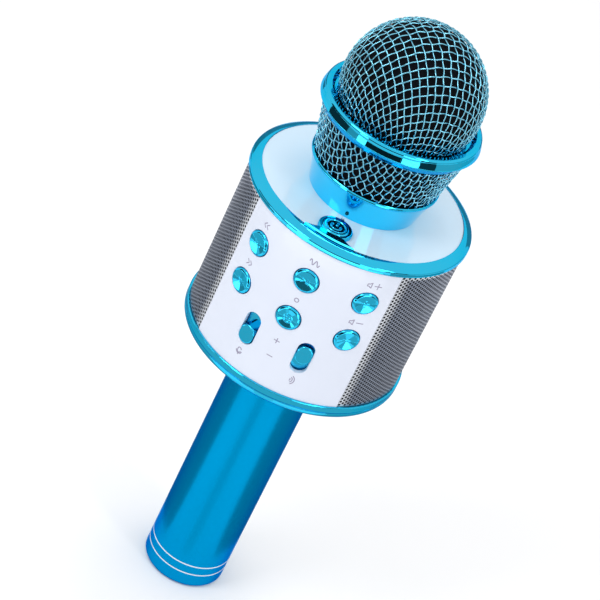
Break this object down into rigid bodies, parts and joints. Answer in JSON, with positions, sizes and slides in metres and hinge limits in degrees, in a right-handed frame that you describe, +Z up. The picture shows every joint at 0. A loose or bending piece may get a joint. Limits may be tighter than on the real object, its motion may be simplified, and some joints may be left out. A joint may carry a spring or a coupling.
{
  "type": "karaoke microphone",
  "caption": "Wireless hand-held karaoke microphone: woven-wire head that unscrews, loudspeaker drum with push buttons and sliders, and a straight metal handle.",
  "frame": {"origin": "centre of the tail's flat end, on the handle's axis", "axes": "+Z up the handle to the head; the control panel faces -Y and the rear sockets +Y"},
  "size_m": [0.084, 0.084, 0.2547],
  "materials": {
    "blue_anodised": "satin anodised, brushed lengthwise",
    "bright_trim": "bright turned",
    "cell_wrap": "shrink-wrapped cell",
    "foam_black": "open-cell foam",
    "board_green": "printed board",
    "steel": "plain steel",
    "blue_plated": "mirror plated, tinted blue",
    "white_gloss": "gloss moulded",
    "frame_black": "moulded",
    "grille_steel": "perforated sheet",
    "cloth_black": "woven dust cloth",
    "magnet_grey": "sintered",
    "cone_black": "pressed cone",
    "wire_blue": "woven wire, plated blue",
    "rubber_black": "moulded rubber",
    "light_lens": "smoked lens"
  },
  "bodies": {
    "drum": {"handle_tube": "blue_anodised", "tail_cap": "blue_anodised", "tail_ring_lower": "bright_trim", "tail_ring_upper": "bright_trim", "battery_cell": "cell_wrap", "battery_sleeve": "foam_black", "battery_board": "board_green", "handle_nut": "steel", "lower_ring": "blue_plated", "bottom_plate": "white_gloss", "bottom_screws": "steel", "drum_chassis": "frame_black", "front_panel": "white_gloss", "rear_panel": "white_gloss", "grille_left": "grille_steel", "grille_right": "grille_steel", "dust_cloth_left": "cloth_black", "dust_cloth_right": "cloth_black", "speaker_basket_left": "steel", "speaker_basket_right": "steel", "speaker_magnet_left": "magnet_grey", "speaker_magnet_right": "magnet_grey", "slide_pot_left": "frame_black", "slide_pot_right": "frame_black", "main_board": "board_green", "control_board": "board_green", "tact_switches": "frame_black", "usb_socket": "steel", "card_socket": "steel", "audio_socket": "frame_black", "charge_socket": "steel", "charge_light": "light_lens", "top_bezel": "blue_plated", "top_plate": "white_gloss", "power_switch": "frame_black", "power_light": "light_lens", "collar": "blue_plated", "capsule_holder": "rubber_black", "mic_capsule": "steel"},
    "seal": {"head_seal": "rubber_black"},
    "head": {"head_base_ring": "blue_plated", "lower_mesh": "wire_blue", "band_ring": "blue_plated", "dome_mesh": "wire_blue", "foam_windscreen": "foam_black"},
    "button_previous": {"button_previous": "blue_plated"},
    "button_next": {"button_next": "blue_plated"},
    "button_play": {"button_play": "blue_plated"},
    "button_record": {"button_record": "blue_plated"},
    "button_volume_up": {"button_volume_up": "blue_plated"},
    "button_volume_down": {"button_volume_down": "blue_plated"},
    "power_button": {"power_button": "blue_plated"},
    "slider_knob_left": {"slider_knob_left": "blue_plated"},
    "slider_knob_right": {"slider_knob_right": "blue_plated"},
    "speaker_cone_left": {"speaker_cone_left": "cone_black"},
    "speaker_cone_right": {"speaker_cone_right": "cone_black"}
  },
  "joints": [
    {"name": "button_previous_press", "type": "slide", "parent": "drum", "child": "button_previous", "axis": [0.5105, 0.8599, 0], "range_m": [0, 0.0005], "stiffness_N_per_m": 900, "springref_m": -0.0004},
    {"name": "button_next_press", "type": "slide", "parent": "drum", "child": "button_next", "axis": [0.5105, 0.8599, 0], "range_m": [0, 0.0005], "stiffness_N_per_m": 900, "springref_m": -0.0004},
    {"name": "button_play_press", "type": "slide", "parent": "drum", "child": "button_play", "axis": [0, 1, 0], "range_m": [0, 0.0005], "stiffness_N_per_m": 900, "springref_m": -0.0004},
    {"name": "button_record_press", "type": "slide", "parent": "drum", "child": "button_record", "axis": [0, 1, 0], "range_m": [0, 0.0005], "stiffness_N_per_m": 900, "springref_m": -0.0004},
    {"name": "button_volume_up_press", "type": "slide", "parent": "drum", "child": "button_volume_up", "axis": [-0.5105, 0.8599, 0], "range_m": [0, 0.0005], "stiffness_N_per_m": 900, "springref_m": -0.0004},
    {"name": "button_volume_down_press", "type": "slide", "parent": "drum", "child": "button_volume_down", "axis": [-0.5105, 0.8599, 0], "range_m": [0, 0.0005], "stiffness_N_per_m": 900, "springref_m": -0.0004},
    {"name": "power_button_press", "type": "slide", "parent": "drum", "child": "power_button", "axis": [0, 0, -1], "range_m": [0, 0.0005], "stiffness_N_per_m": 900, "springref_m": -0.0004},
    {"name": "slider_knob_left_slide", "type": "slide", "parent": "drum", "child": "slider_knob_left", "axis": [0, 0, 1], "range_m": [-0.00045, 0.00525]},
    {"name": "slider_knob_right_slide", "type": "slide", "parent": "drum", "child": "slider_knob_right", "axis": [0, 0, 1], "range_m": [-0.00445, 0.00125]},
    {"name": "speaker_cone_left_stroke", "type": "slide", "parent": "drum", "child": "speaker_cone_left", "axis": [-1, 0, 0], "range_m": [-0.0005, 0.0005], "stiffness_N_per_m": 800},
    {"name": "speaker_cone_right_stroke", "type": "slide", "parent": "drum", "child": "speaker_cone_right", "axis": [1, 0, 0], "range_m": [-0.0005, 0.0005], "stiffness_N_per_m": 800},
    {"name": "head_lift", "type": "slide", "parent": "drum", "child": "seal", "axis": [0, 0, 1], "range_m": [0, 0.006]},
    {"name": "head_turn", "type": "hinge", "parent": "seal", "child": "head", "pos_m": [0, 0, 0.1952], "axis": [0, 0, 1], "range_deg": [0, 1081]}
  ],
  "couplings": [
    {"joint": "head_turn", "follows": "head_lift", "rad_per_m": 3141.6}
  ]
}
